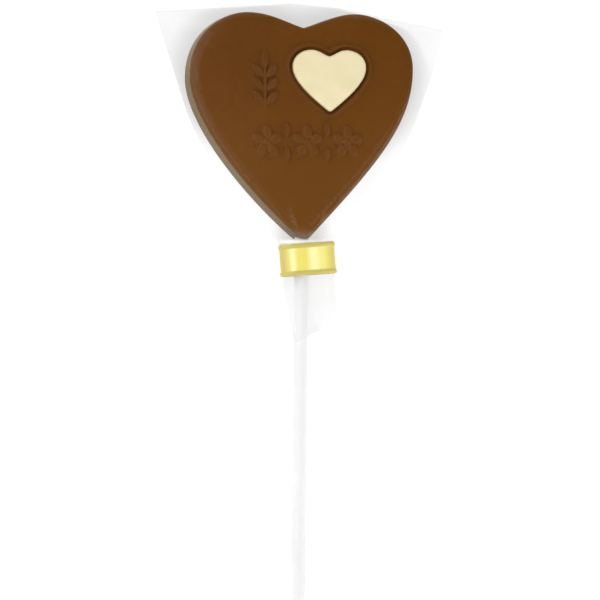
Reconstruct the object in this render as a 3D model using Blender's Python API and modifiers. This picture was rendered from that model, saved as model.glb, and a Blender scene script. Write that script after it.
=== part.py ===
"""Milk chocolate heart on a lolly stick, in a clear film bag tied at the neck with a gold band.

The lollipop lies on its back. Sizes are in metres. X runs across the heart, Y from the stick's
end up to the lobes of the heart, and Z up from the surface that the lollipop lies on.
"""

import math

import bmesh
import bpy
from mathutils import Vector
from mathutils.geometry import interpolate_bezier

OBJECT_NAME = "chocolate_heart_lollipop"

# Reach of the whole lollipop from the middle of it.
HALF_LENGTH = 0.0973
HALF_SPREAD = 0.0475

# Edges that turn by more than this are shaded as edges.
SHARP_ANGLE = math.radians(35)

# Room between pieces that touch, and the thickness of the film.
GAP = 0.0003
FILM = 0.0002

# The milk chocolate heart. Its wall leans in by the draft, then rounds over to the face. It is
# turned a little in its own plane. Places on it are measured from its tip and from its back. The
# notch between a heart's lobes is given in shares of the half-width and of the height.
HEART_WIDTH = 0.0750
HEART_HEIGHT = 0.0744
HEART_NOTCH = (0.012, 0.935)
HEART_THICKNESS = 0.0085
HEART_TIP_X = 0.0005
HEART_TIP_Y = 0.0196
HEART_BACK_Z = FILM + GAP
HEART_TURN = math.radians(0.7)
WALL_DRAFT = 0.0006
SHOULDER_REACH = 0.0016
SHOULDER_DEPTH = 0.0021
SHOULDER_STEPS = 5

# The raised seat on the face, and the white chocolate heart set into it.
SEAT_HEIGHT = 0.0010
SEAT_RIM = 0.0007
SEAT_FOOT = 0.0018
SEAT_STEPS = 3
POCKET_DEPTH = 0.0015
WHITE_WIDTH = 0.0242
WHITE_HEIGHT = 0.0199
WHITE_NOTCH = (0.0, 0.895)
WHITE_X = 0.0084
WHITE_ABOVE_TIP = 0.0417
WHITE_PROUD = 0.0002
WHITE_ROUND = 0.0004
WHITE_STEPS = 3

# The raised flowers and leaves on the face: how high they stand and how deep their feet are sunk.
RELIEF_HEIGHT = 0.0007
RELIEF_FOOT = 0.0002
DOME_SEGMENTS = 14
DOME_RINGS = 6
BLOSSOM_ROW_ABOVE_TIP = 0.0318
BLOSSOM_SPACING = 0.0132
BLOSSOM_ROW_X = 0.0008
BLOSSOM_COUNT = 3
PETALS = 5
PETAL_LENGTH = 0.0046
PETAL_WIDTH = 0.0036
PETAL_OUT = 0.0031
EYE_WIDTH = 0.0028
ROW_LEAF_LENGTH = 0.0050
ROW_LEAF_WIDTH = 0.0021
ROW_LEAF_RISE = 0.0040
SPRIG_X = -0.0128
SPRIG_FOOT_ABOVE_TIP = 0.0420
SPRIG_LENGTH = 0.0195
SPRIG_STEM_WIDTH = 0.0010
SPRIG_PAIRS = 3
SPRIG_FIRST_PAIR = 0.35
SPRIG_LEAF_LENGTH = 0.0062
SPRIG_LEAF_WIDTH = 0.0026
SPRIG_LEAF_LEAN = math.radians(42)

# The lolly stick, which goes a way up into the heart and leans a little.
STICK_RADIUS = 0.00225
STICK_SIDES = 32
STICK_LENGTH = 0.1500
STICK_LEAN = math.radians(0.6)
STICK_Z = HEART_BACK_Z + 0.0034
STICK_END_ROUND = 0.0006

# The film bag. Its side seams run outside the heart, closer on the left, and less close near the
# heart's tip. Then its top corners, the line of its top edge, and the places below the corners
# where its sides are fullest.
SEAM_Z = 0.0015
SEAM_LEFT = 0.0014
SEAM_LEFT_LOW = 0.0032
SEAM_RIGHT = 0.0042
SEAM_RIGHT_LOW = 0.0056
SEAM_ABOVE_TIP = 0.0150
BAG_LEFT_CORNER_Y = 0.0931
BAG_RIGHT_CORNER_Y = 0.0893
BAG_RIGHT_CORNER_LIFT = 0.0030
BAG_TOP_PEAK_X = -0.0030
BAG_TOP_BEND = (0.0130, 0.0961)
BAG_LEFT_FULL = (-0.0420, 0.0778)
BAG_RIGHT_FULL = (0.0440, 0.0745)

# The gathered neck of the bag, inside the band.
NECK_RADIUS = STICK_RADIUS + GAP + 0.0001
NECK_HALF_SPREAD = 0.0058
NECK_OUTSIDE_BAND = 0.0004
ARC_POINTS = 9

# The loose tail of the bag below the band. Its mouth is cut at a slant.
TAIL_RIGHT_X = 0.0120
TAIL_EDGE_RADIUS = 0.0004
TAIL_MOUTH_Y = -0.0100
TAIL_MOUTH_SLOPE = 0.50
TAIL_STATIONS = 9

# The gold band round the neck, with a rolled rim along both of its edges.
BAND_X = 0.0020
BAND_Y = 0.0137
BAND_HEIGHT = 0.0099
BAND_TURN = math.radians(4.45)
BAND_INNER_RADIUS = NECK_RADIUS + FILM + GAP
BAND_WALL = 0.00035
RIM_REACH = 0.0003
RIM_HEIGHT = 0.0015
RIM_STEPS = 5

# Half of a heart's outline, from its tip to the top of its lobe, as knots with their two handles, in
# shares of the half-width and of the height. It ends in the notch between the lobes. The white
# heart is even. The big one has a blunt tip, and is fuller low on its left and high on its right.
EVEN_HALF = (
    ((0.0, 0.0), (0.0, 0.0), (0.021, 0.0)),
    ((0.0564, 0.0113), (-0.0152, -0.0072), (0.513, 0.243)),
    ((1.0, 0.718), (0.0, -0.217), (0.0, 0.163)),
    ((0.474, 1.0), (0.298, 0.0), (-0.191, 0.0)),
)
RIGHT_HALF = (
    ((0.008, 0.001), (0.0, 0.0), (0.022, 0.0)),
    ((0.069, 0.016), (-0.015, -0.008), (0.566, 0.300)),
    ((0.995, 0.757), (0.0, -0.250), (0.0, 0.155)),
    ((0.466, 1.0), (0.243, 0.0), (-0.150, 0.0)),
)
LEFT_HALF = (
    ((-0.008, 0.001), (0.0, 0.0), (0.036, 0.0)),
    ((0.094, 0.0215), (-0.027, -0.012), (0.483, 0.217)),
    ((1.004, 0.707), (0.0, -0.177), (0.0, 0.203)),
    ((0.473, 1.0), (0.220, 0.0), (-0.200, 0.0)),
)
NOTCH_HANDLE = (0.148, 0.023)
OUTLINE_STEPS = (4, 13, 12, 8)

# Each heart as its width, its height, the place of its tip, the place of its notch and its halves.
BIG_HEART = (HEART_WIDTH, HEART_HEIGHT, (0.0, 0.0), HEART_NOTCH, RIGHT_HALF, LEFT_HALF)
SMALL_HEART = (
    WHITE_WIDTH,
    WHITE_HEIGHT,
    (WHITE_X, WHITE_ABOVE_TIP),
    WHITE_NOTCH,
    EVEN_HALF,
    EVEN_HALF,
)


def clear_scene():
    for obj in list(bpy.data.objects):
        bpy.data.objects.remove(obj, do_unlink=True)


def make_collection(name):
    collection = bpy.data.collections.new(name)
    bpy.context.scene.collection.children.link(collection)
    return collection


def make_material(name, colour, roughness, metallic=0.0, alpha=1.0):
    material = bpy.data.materials.new(name)
    material.use_nodes = True
    shader = material.node_tree.nodes["Principled BSDF"]
    shader.inputs["Base Color"].default_value = (*colour, 1.0)
    shader.inputs["Roughness"].default_value = roughness
    shader.inputs["Metallic"].default_value = metallic
    shader.inputs["Alpha"].default_value = alpha
    material.diffuse_color = (*colour, alpha)
    return material


def make_object(name, bm, collection, material=None, parent=None):
    """Turns the finished bmesh into an object, with its faces pointing out and shaded smooth."""
    bmesh.ops.recalc_face_normals(bm, faces=bm.faces)
    mesh = bpy.data.meshes.new(name)
    bm.to_mesh(mesh)
    bm.free()
    mesh.shade_smooth()
    mesh.set_sharp_from_angle(angle=SHARP_ANGLE)
    if material:
        mesh.materials.append(material)
    obj = bpy.data.objects.new(name, mesh)
    obj.parent = parent
    collection.objects.link(obj)
    return obj


def add_ring(bm, points):
    return [bm.verts.new(point) for point in points]


def join_rings(bm, lower, upper):
    for i in range(len(lower)):
        j = (i + 1) % len(lower)
        bm.faces.new((lower[i], lower[j], upper[j], upper[i]))


def loft(bm, levels):
    """A solid through the given rings of points, closed flat at its first and last ring."""
    rings = [add_ring(bm, points) for points in levels]
    for lower, upper in zip(rings, rings[1:]):
        join_rings(bm, lower, upper)
    bm.faces.new(rings[0])
    bm.faces.new(rings[-1])


def half_outline(half, notch):
    """Half of an outline in shares, from its tip up to the notch."""
    knots = half + ((notch, NOTCH_HANDLE, (0.0, 0.0)),)
    points = []
    for here, after, steps in zip(knots, knots[1:], OUTLINE_STEPS):
        start = Vector(here[0])
        end = Vector(after[0])
        leave = start + Vector(here[2])
        arrive = end + Vector(after[1])
        points += interpolate_bezier(start, leave, arrive, end, steps + 1)[:-1]
    return points + [Vector(notch)]


def heart_ring(heart, outward, z):
    """The outline of a heart at height z, moved outward along its own normals."""
    width, height, tip, notch, right_half, left_half = heart
    right = half_outline(right_half, notch)
    left = [Vector((-p.x, p.y)) for p in half_outline(left_half, (-notch[0], notch[1]))]
    outline = [Vector((p.x * width / 2, p.y * height)) for p in right + left[-2:0:-1]]
    ring = []
    for i, point in enumerate(outline):
        along = outline[(i + 1) % len(outline)] - outline[i - 1]
        normal = Vector((along.y, -along.x)).normalized()
        moved = point + normal * outward
        ring.append(Vector((tip[0] + moved.x, tip[1] + moved.y, z)))
    return ring


def wall_levels(clearance):
    """Levels of the big heart's wall, from its back to its face, grown all round by a clearance.

    Each level is how far it stands outside the back's outline, and its height.
    """
    wall_top = HEART_THICKNESS - SHOULDER_DEPTH
    levels = [(clearance, 0.0), (clearance - WALL_DRAFT, wall_top)]
    for step in range(1, SHOULDER_STEPS + 1):
        turn = math.radians(90) * step / SHOULDER_STEPS
        inward = WALL_DRAFT + SHOULDER_REACH * (1 - math.cos(turn))
        outward = clearance * math.cos(turn) - inward
        levels.append((outward, wall_top + (SHOULDER_DEPTH + clearance) * math.sin(turn)))
    return levels


def seat_levels():
    """Levels of the raised seat round the white heart, from below the face to its rim."""
    levels = [(SEAT_FOOT, HEART_THICKNESS - RELIEF_FOOT)]
    for step in range(SEAT_STEPS + 1):
        turn = math.radians(90) * step / SEAT_STEPS
        outward = SEAT_RIM + (SEAT_FOOT - SEAT_RIM) * math.cos(turn)
        levels.append((outward, HEART_THICKNESS + SEAT_HEIGHT * math.sin(turn)))
    return levels


def add_seat(collection, place):
    bm = bmesh.new()
    loft(bm, [heart_ring(SMALL_HEART, outward, z) for outward, z in seat_levels()])
    make_object("seat", bm, collection, parent=place)


def add_dome(name, collection, place, centre, length, width, angle, pointed=False):
    """A low rounded form on the face, long along its angle. A pointed one narrows at both ends."""
    bm = bmesh.new()
    bmesh.ops.create_uvsphere(bm, u_segments=DOME_SEGMENTS, v_segments=DOME_RINGS, radius=1.0)
    for vert in bm.verts:
        if pointed:
            vert.co.y *= math.sqrt(max(0.0, 1 - vert.co.x**2))
        vert.co.x *= length / 2
        vert.co.y *= width / 2
        vert.co.z *= RELIEF_HEIGHT + RELIEF_FOOT
    bmesh.ops.remove_doubles(bm, verts=bm.verts, dist=1e-6)
    dome = make_object(name, bm, collection, parent=place)
    dome.location = (centre[0], centre[1], HEART_THICKNESS - RELIEF_FOOT)
    dome.rotation_euler.z = angle


def add_blossom(collection, place, number, x, y):
    for petal in range(PETALS):
        angle = math.radians(90) + math.tau * petal / PETALS
        centre = (x + PETAL_OUT * math.cos(angle), y + PETAL_OUT * math.sin(angle))
        add_dome(f"petal_{number}_{petal}", collection, place, centre, PETAL_LENGTH, PETAL_WIDTH, angle)
    add_dome(f"eye_{number}", collection, place, (x, y), EYE_WIDTH, EYE_WIDTH, 0.0)


def add_blossom_row(collection, place):
    """A row of five-petalled flowers, with a pair of leaves between each two of them."""
    y = BLOSSOM_ROW_ABOVE_TIP
    upright = math.radians(90)
    first_x = BLOSSOM_ROW_X - BLOSSOM_SPACING * (BLOSSOM_COUNT - 1) / 2
    for number in range(BLOSSOM_COUNT):
        add_blossom(collection, place, number, first_x + BLOSSOM_SPACING * number, y)
    for number in range(BLOSSOM_COUNT - 1):
        x = first_x + BLOSSOM_SPACING * (number + 0.5)
        for side in (1, -1):
            centre = (x, y + side * ROW_LEAF_RISE)
            name = f"row_leaf_{number}_{side + 1}"
            add_dome(name, collection, place, centre, ROW_LEAF_LENGTH, ROW_LEAF_WIDTH, upright, True)


def add_sprig(collection, place):
    """An upright sprig: a stem, leaves in pairs up both sides of it, and one leaf at its top."""
    foot_y = SPRIG_FOOT_ABOVE_TIP
    upright = math.radians(90)
    leaf = (SPRIG_LEAF_LENGTH, SPRIG_LEAF_WIDTH)
    stem_length = SPRIG_LENGTH - SPRIG_LEAF_LENGTH / 2
    stem_centre = (SPRIG_X, foot_y + stem_length / 2)
    add_dome("sprig_stem", collection, place, stem_centre, stem_length, SPRIG_STEM_WIDTH, upright)
    top_centre = (SPRIG_X, foot_y + SPRIG_LENGTH - SPRIG_LEAF_LENGTH / 2)
    add_dome("sprig_top", collection, place, top_centre, *leaf, upright, True)
    pair_spacing = (stem_length - SPRIG_LEAF_LENGTH / 2) / SPRIG_PAIRS
    for pair in range(SPRIG_PAIRS):
        joint_y = foot_y + pair_spacing * (pair + SPRIG_FIRST_PAIR)
        for side in (1, -1):
            out = SPRIG_LEAF_LENGTH / 2 * math.sin(SPRIG_LEAF_LEAN)
            up = SPRIG_LEAF_LENGTH / 2 * math.cos(SPRIG_LEAF_LEAN)
            angle = upright - side * SPRIG_LEAF_LEAN
            centre = (SPRIG_X + side * out, joint_y + up)
            name = f"sprig_leaf_{pair}_{side + 1}"
            add_dome(name, collection, place, centre, *leaf, angle, True)


def points_above_face(objects):
    """Where these raised forms stand above the heart's face, in the world."""
    bpy.context.view_layer.update()
    points = [obj.matrix_world @ vert.co for obj in objects for vert in obj.data.vertices]
    return [point for point in points if point.z > HEART_BACK_Z + HEART_THICKNESS]


def fuse_collection(target, collection):
    """Joins everything in the collection to the target, and removes the collection."""
    union = target.modifiers.new("fuse", "BOOLEAN")
    union.operation = "UNION"
    union.solver = "EXACT"
    union.operand_type = "COLLECTION"
    union.collection = collection
    depsgraph = bpy.context.evaluated_depsgraph_get()
    fused = bpy.data.meshes.new_from_object(target.evaluated_get(depsgraph))
    fused.shade_smooth()
    fused.set_sharp_from_angle(angle=SHARP_ANGLE)
    target.modifiers.remove(union)
    target.data = fused
    for obj in list(collection.objects):
        bpy.data.objects.remove(obj, do_unlink=True)
    bpy.data.collections.remove(collection)


def cut_with(target, cutter):
    cutter.hide_render = True
    cutter.display_type = "WIRE"
    cut = target.modifiers.new(f"cut {cutter.name}", "BOOLEAN")
    cut.operation = "DIFFERENCE"
    cut.solver = "EXACT"
    cut.object = cutter


def make_rod(name, collection, radius, length, foot_y, material=None):
    """A round rod on the stick's own leaning line, from foot_y up."""
    bpy.ops.mesh.primitive_cylinder_add(vertices=STICK_SIDES, radius=radius, depth=length)
    rod = bpy.context.object
    rod.name = name
    rod.data.name = name
    for owner in list(rod.users_collection):
        owner.objects.unlink(rod)
    collection.objects.link(rod)
    middle = foot_y + length / 2 - HEART_TIP_Y
    rod.location = (middle * math.sin(STICK_LEAN), HEART_TIP_Y + middle * math.cos(STICK_LEAN), STICK_Z)
    rod.rotation_euler = (math.radians(-90), 0.0, -STICK_LEAN)
    if material:
        rod.data.materials.append(material)
    return rod


def make_heart_place(parts):
    """An empty at the heart's tip, on its back, that places and turns everything on the heart."""
    place = bpy.data.objects.new("heart_place", None)
    place.location = (HEART_TIP_X, HEART_TIP_Y, HEART_BACK_Z)
    place.rotation_euler.z = HEART_TURN
    parts.objects.link(place)
    return place


def make_heart(parts, cutters, place):
    """The moulded heart with its raised relief, the pocket for the white heart and the stick's hole.

    Returns the points of everything that stands up from its face.
    """
    chocolate = make_material("milk chocolate", (0.130, 0.044, 0.011), 0.38)
    bm = bmesh.new()
    loft(bm, [heart_ring(BIG_HEART, outward, z) for outward, z in wall_levels(0.0)])
    heart = make_object("milk_chocolate_heart", bm, parts, chocolate, place)

    relief = make_collection("relief")
    add_seat(relief, place)
    add_blossom_row(relief, place)
    add_sprig(relief, place)
    raised = points_above_face(relief.objects)
    fuse_collection(heart, relief)

    seat_top = HEART_THICKNESS + SEAT_HEIGHT
    bm = bmesh.new()
    pocket_levels = (seat_top - POCKET_DEPTH, seat_top + POCKET_DEPTH)
    loft(bm, [heart_ring(SMALL_HEART, GAP, z) for z in pocket_levels])
    cut_with(heart, make_object("pocket", bm, cutters, parent=place))

    hole_foot = HEART_TIP_Y - HEART_THICKNESS
    hole_top = STICK_LENGTH - HALF_LENGTH + GAP
    hole = make_rod("stick_hole", cutters, STICK_RADIUS + GAP, hole_top - hole_foot, hole_foot)
    cut_with(heart, hole)
    heart.modifiers.new("flat faces stay flat", "WEIGHTED_NORMAL").keep_sharp = True
    return raised


def make_white_heart(parts, place):
    """The white chocolate heart in its pocket, with a softly rounded top edge."""
    white = make_material("white chocolate", (0.87, 0.77, 0.50), 0.42)
    bottom = HEART_THICKNESS + SEAT_HEIGHT - POCKET_DEPTH + GAP
    top = HEART_THICKNESS + SEAT_HEIGHT + WHITE_PROUD
    levels = [(0.0, bottom)]
    for step in range(WHITE_STEPS + 1):
        turn = math.radians(90) * step / WHITE_STEPS
        inward = WHITE_ROUND * (1 - math.cos(turn))
        levels.append((-inward, top - WHITE_ROUND * (1 - math.sin(turn))))
    bm = bmesh.new()
    loft(bm, [heart_ring(SMALL_HEART, outward, z) for outward, z in levels])
    make_object("white_chocolate_heart", bm, parts, white, place)


def make_stick(parts):
    white = make_material("stick white", (0.90, 0.90, 0.89), 0.45)
    stick = make_rod("stick", parts, STICK_RADIUS, STICK_LENGTH, -HALF_LENGTH, white)
    rounding = stick.modifiers.new("rounded ends", "BEVEL")
    rounding.width = STICK_END_ROUND
    rounding.segments = 3
    stick.data.shade_smooth()


def oval(left_x, right_x, left_radius, right_radius):
    """Points round two circles side by side and the straight runs between them, as pairs of x, z."""
    lean = math.acos((left_radius - right_radius) / (right_x - left_x))
    points = []
    for i in range(ARC_POINTS):
        angle = -lean + 2 * lean * i / (ARC_POINTS - 1)
        points.append((right_x + right_radius * math.cos(angle), right_radius * math.sin(angle)))
    for i in range(ARC_POINTS):
        angle = lean + (math.tau - 2 * lean) * i / (ARC_POINTS - 1)
        points.append((left_x + left_radius * math.cos(angle), left_radius * math.sin(angle)))
    return points


def sleeve_ring(y, slope, left_x, right_x, left_radius, right_radius):
    """One ring of the bag's neck or tail. The slope tilts it, rising to the right."""
    middle_x = (left_x + right_x) / 2
    ring = []
    for x, z in oval(left_x, right_x, left_radius, right_radius):
        ring.append(Vector((x, y + slope * (x - middle_x), STICK_Z + z)))
    return ring


def neck_ring(along, thickness):
    """A ring of the gathered neck, at a distance along the band's own turned axis."""
    middle_x = BAND_X - along * math.sin(BAND_TURN)
    y = BAND_Y + along * math.cos(BAND_TURN)
    half = NECK_HALF_SPREAD * math.cos(BAND_TURN)
    radius = NECK_RADIUS + thickness
    return sleeve_ring(y, math.tan(BAND_TURN), middle_x - half, middle_x + half, radius, radius)


def sleeve_rings(thickness):
    """Rings from above the band, through it, and down the tail to its slanted mouth."""
    band_end = BAND_HEIGHT / 2 + NECK_OUTSIDE_BAND
    rings = [neck_ring(band_end, thickness), neck_ring(-band_end, thickness)]
    radius = NECK_RADIUS + thickness
    tail_top = BAND_Y - band_end
    left_start = BAND_X + band_end * math.sin(BAND_TURN) - NECK_HALF_SPREAD
    right_start = left_start + 2 * NECK_HALF_SPREAD
    for station in range(1, TAIL_STATIONS + 1):
        share = station / TAIL_STATIONS
        eased = share * share * (3 - 2 * share)
        y = tail_top + (TAIL_MOUTH_Y - tail_top) * share
        slope = math.tan(BAND_TURN) + (TAIL_MOUTH_SLOPE - math.tan(BAND_TURN)) * share
        stick_x = (y - HEART_TIP_Y) * math.sin(STICK_LEAN)
        left_x = left_start + (stick_x - left_start) * eased
        right_x = right_start + (TAIL_RIGHT_X - right_start) * eased
        edge_radius = radius + (TAIL_EDGE_RADIUS + thickness - radius) * eased
        rings.append(sleeve_ring(y, slope, left_x, right_x, radius, edge_radius))
    return rings


def seam_line(thickness, z):
    """The side seams beside the heart, from above its tip up to its widest place, local to it."""
    left_widest = HEART_HEIGHT * LEFT_HALF[2][0][1]
    right_widest = HEART_HEIGHT * RIGHT_HALF[2][0][1]
    sides = (
        (-1, SEAM_LEFT_LOW, SEAM_LEFT, left_widest),
        (1, SEAM_RIGHT_LOW, SEAM_RIGHT, right_widest),
    )
    points = []
    for side, low, high, widest in sides:
        near_tip = heart_ring(BIG_HEART, low + thickness, z)
        near_lobe = heart_ring(BIG_HEART, high + thickness, z)
        for low_point, high_point in zip(near_tip, near_lobe):
            if SEAM_ABOVE_TIP < low_point.y < widest and low_point.x * side > 0:
                points.append(low_point.lerp(high_point, low_point.y / widest))
    return points


def bag_points(clearance, thickness, place, raised):
    """Points that the film is drawn tight over: the heart and its relief, the seams and corners."""
    rings = [heart_ring(BIG_HEART, 0.0, -clearance)]
    rings += [heart_ring(BIG_HEART, outward, z) for outward, z in wall_levels(clearance)]
    white_top = HEART_THICKNESS + SEAT_HEIGHT + WHITE_PROUD
    rings.append(heart_ring(SMALL_HEART, 0.0, white_top + clearance))
    points = [place.matrix_world @ point for ring in rings for point in ring]
    points += [point + Vector((0.0, 0.0, clearance)) for point in raised]

    corner_x = HALF_SPREAD - FILM
    seam = [
        (-corner_x, BAG_LEFT_CORNER_Y, 0.0),
        (BAG_TOP_PEAK_X, HALF_LENGTH - FILM, 0.0),
        (*BAG_TOP_BEND, 0.0),
        (corner_x, BAG_RIGHT_CORNER_Y, BAG_RIGHT_CORNER_LIFT),
        (*BAG_LEFT_FULL, 0.0),
        (*BAG_RIGHT_FULL, 0.0),
    ]
    for z in sorted({SEAM_Z - thickness, SEAM_Z + thickness}):
        points += [place.matrix_world @ point for point in seam_line(thickness, z - HEART_BACK_Z)]
        for x, y, lift in seam:
            points.append(Vector((x + math.copysign(thickness, x), y + thickness, z + lift)))
    return points


def add_bag_surface(bm, clearance, thickness, place, raised):
    """One face of the film: a tight hull over the heart, open at the neck, and the sleeve below it.

    Returns the ring at the mouth.
    """
    rings = sleeve_rings(thickness)
    neck = add_ring(bm, rings[0])
    body = add_ring(bm, bag_points(clearance, thickness, place, raised))
    hull = bmesh.ops.convex_hull(bm, input=neck + body)
    neck_verts = set(neck)
    faces = [item for item in hull["geom"] if isinstance(item, bmesh.types.BMFace)]
    bmesh.ops.delete(bm, geom=[f for f in faces if neck_verts.issuperset(f.verts)], context="FACES_ONLY")
    bmesh.ops.delete(bm, geom=[v for v in body if not v.link_faces], context="VERTS")
    bmesh.ops.delete(bm, geom=[e for e in bm.edges if not e.link_faces], context="EDGES")
    last = neck
    for points in rings[1:]:
        ring = add_ring(bm, points)
        join_rings(bm, last, ring)
        last = ring
    return last


def make_film_bag(parts, place, raised):
    """The clear bag as a thin wall: its outer and inner faces, joined round the mouth of the tail."""
    film = make_material("clear film", (0.93, 0.94, 0.95), 0.12, alpha=0.18)
    bm = bmesh.new()
    outer = add_bag_surface(bm, GAP + FILM, FILM, place, raised)
    inner = add_bag_surface(bm, GAP, 0.0, place, raised)
    join_rings(bm, outer, inner)
    make_object("film_bag", bm, parts, film)


def band_profile():
    """The band's wall as pairs of distance out from the inner face and place along its height."""
    half = BAND_HEIGHT / 2
    profile = [(0.0, -half), (0.0, half)]
    for rim_top in (half, RIM_HEIGHT - half):
        for step in range(RIM_STEPS + 1):
            turn = math.radians(180) * step / RIM_STEPS
            bulge = BAND_WALL + RIM_REACH * math.sin(turn)
            profile.append((bulge, rim_top - RIM_HEIGHT * (1 - math.cos(turn)) / 2))
    return profile


def make_gold_band(parts):
    """The flattened metal band that holds the neck of the bag to the stick."""
    gold = make_material("gold", (0.86, 0.70, 0.24), 0.25, metallic=1.0)
    bm = bmesh.new()
    rings = []
    for out, along in band_profile():
        radius = BAND_INNER_RADIUS + out
        points = oval(-NECK_HALF_SPREAD, NECK_HALF_SPREAD, radius, radius)
        rings.append(add_ring(bm, [(x, along, z) for x, z in points]))
    for lower, upper in zip(rings, rings[1:] + rings[:1]):
        join_rings(bm, lower, upper)
    band = make_object("gold_band", bm, parts, gold)
    band.location = (BAND_X, BAND_Y, STICK_Z)
    band.rotation_euler.z = BAND_TURN


clear_scene()
parts = make_collection(OBJECT_NAME)
cutters = make_collection("cutters")
heart_place = make_heart_place(parts)
raised_points = make_heart(parts, cutters, heart_place)
make_white_heart(parts, heart_place)
make_stick(parts)
make_film_bag(parts, heart_place, raised_points)
make_gold_band(parts)
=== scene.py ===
import math

import bmesh
import bpy
import numpy as np
from mathutils import Matrix, Vector
from mathutils.bvhtree import BVHTree
from mathutils.geometry import convex_hull_2d, delaunay_2d_cdt, interpolate_bezier


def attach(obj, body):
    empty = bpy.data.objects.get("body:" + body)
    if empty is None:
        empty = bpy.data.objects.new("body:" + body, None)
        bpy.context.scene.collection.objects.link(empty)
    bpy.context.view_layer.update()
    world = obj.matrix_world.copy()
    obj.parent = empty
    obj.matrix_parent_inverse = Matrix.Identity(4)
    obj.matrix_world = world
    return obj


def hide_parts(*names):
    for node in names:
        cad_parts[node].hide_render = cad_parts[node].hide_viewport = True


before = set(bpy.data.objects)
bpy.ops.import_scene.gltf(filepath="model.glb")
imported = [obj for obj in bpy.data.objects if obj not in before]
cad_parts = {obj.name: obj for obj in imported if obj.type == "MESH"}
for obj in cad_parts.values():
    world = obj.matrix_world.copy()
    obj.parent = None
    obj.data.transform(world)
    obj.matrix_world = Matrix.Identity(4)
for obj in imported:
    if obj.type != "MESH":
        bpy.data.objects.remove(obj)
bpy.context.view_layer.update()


# The milk chocolate heart. It is cast face down in a drafted mould, so that its back is flat, its
# wall leans in and its shoulder is rounded over to the face. The face carries raised relief: a
# leafy sprig, a row of blossoms, and a ridge and groove round the place of the white heart.
HEART_WIDTH = 0.0750
HEART_HEIGHT = 0.0744
HEART_NOTCH = (0.012, 0.935)
HEART_THICKNESS = 0.0085
HEART_TIP = Vector((0.0005, 0.0196, 0.0005))
HEART_TURN = math.radians(0.7)
HEART_PLACE = Matrix.Translation(HEART_TIP) @ Matrix.Rotation(HEART_TURN, 4, "Z")

WALL_DRAFT = 0.0006
BACK_EDGE_ROUND = 0.0004
BACK_EDGE_SHARE = 0.3
SHOULDER_REACH = 0.0016
SHOULDER_DEPTH = 0.0021
SHOULDER_STEPS = 14
WALL_STEPS = 5
FACE_FALL = 0.0003
FACE_FALL_FROM = 0.0017
EDGE_LINE_INSIDE = 0.0039
EDGE_LINE_RISE = 0.00028
EDGE_LINE_WIDTH = 0.0010
EDGE_LINE_GONE_Y = 0.040
EDGE_LINE_FADE = 0.008
EDGE_LINE_FADE_X = 0.002
EDGE_RING_SPACING = 0.00022

WHITE_WIDTH = 0.0242
WHITE_HEIGHT = 0.0199
WHITE_NOTCH = (0.0, 0.895)
WHITE_X = 0.0084
WHITE_ABOVE_TIP = 0.0417
RIDGE_HEIGHT = 0.0008
RIDGE_INNER = 0.0006
RIDGE_CREST = 0.0014
RIDGE_OUTER = 0.0016
RIDGE_FOOT = 0.0025
GROOVE_FLOOR = 0.0080
POCKET_FLOOR = 0.0078
RIDGE_RING_SPACING = 0.00018
RIDGE_RINGS_INSET = 0.0001
POCKET_INSET = 0.0002
RIDGE_CLEAR_INSET = 0.0003

RELIEF_HEIGHT = 0.0010
RELIEF_STEEPNESS = 4.5
RELIEF_FAR = 3.0
LEAF_NARROWEST = 0.02
RELIEF_FILLET = 0.00007
BLOSSOM_ROW_ABOVE_TIP = 0.0318
BLOSSOM_SPACING = 0.0132
BLOSSOM_ROW_X = 0.0008
BLOSSOM_COUNT = 3
PETALS = 5
PETAL_LENGTH = 0.0050
PETAL_WIDTH = 0.0038
PETAL_OUT = 0.0031
EYE_WIDTH = 0.0030
ROW_LEAF_LENGTH = 0.0054
ROW_LEAF_WIDTH = 0.0024
ROW_LEAF_RISE = 0.0040
SPRIG_X = -0.0128
SPRIG_FOOT_ABOVE_TIP = 0.0420
SPRIG_LENGTH = 0.0195
SPRIG_STEM_WIDTH = 0.0013
SPRIG_PAIRS = 3
SPRIG_FIRST_PAIR = 0.35
SPRIG_LEAF_LENGTH = 0.0066
SPRIG_LEAF_WIDTH = 0.0029
SPRIG_LEAF_LEAN = math.radians(42)
VEIN_DEPTH = 0.00022
VEIN_WIDTH = 0.00018

FINE_SPACING = 0.00021
PLAIN_SPACING = 0.0011
RELIEF_MARGIN = 0.0012

CHOCOLATE_DEEP = (0.121, 0.0412, 0.0048)
CHOCOLATE_WARM = (0.133, 0.0457, 0.0061)
CHOCOLATE_SPECK = (0.114, 0.0370, 0.0043)
SPECK_SHARE = 0.35
# Painted light: the chocolate is painted lighter towards the tip, for the stronger light on the heart's
# lower part.
CHOCOLATE_TIP_PAINTED_LIGHT = (0.143, 0.0560, 0.0105)
TIP_PAINTED_LIGHT_SHARE = 0.5
TIP_PAINTED_LIGHT_Y = (0.030, 0.085)
# Painted shade and reflection: the wall is painted a greener, duller brown for the shade on it and its
# olive reflection of the pale surround, kept off the ridge round the white heart.
CHOCOLATE_WALL_SHADE_AND_REFLECTION = (0.130, 0.066, 0.010)
WALL_SHADE_Z = (0.0070, 0.00855)
WALL_SHADE_CLEAR_OF_WHITE = (0.0150, 0.0175)
CHOCOLATE_WAVE_DEPTH = 0.00012
CHOCOLATE_PORE_DEPTH = 0.00002
CHOCOLATE_ROUGHNESS = (0.24, 0.31)
CHOCOLATE_SPECULAR = 0.07
CHOCOLATE_SHEEN = 0.07
CHOCOLATE_SHEEN_ROUGHNESS = 0.40
CHOCOLATE_SHEEN_TINT = (0.95, 0.92, 0.45, 1.0)

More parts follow.
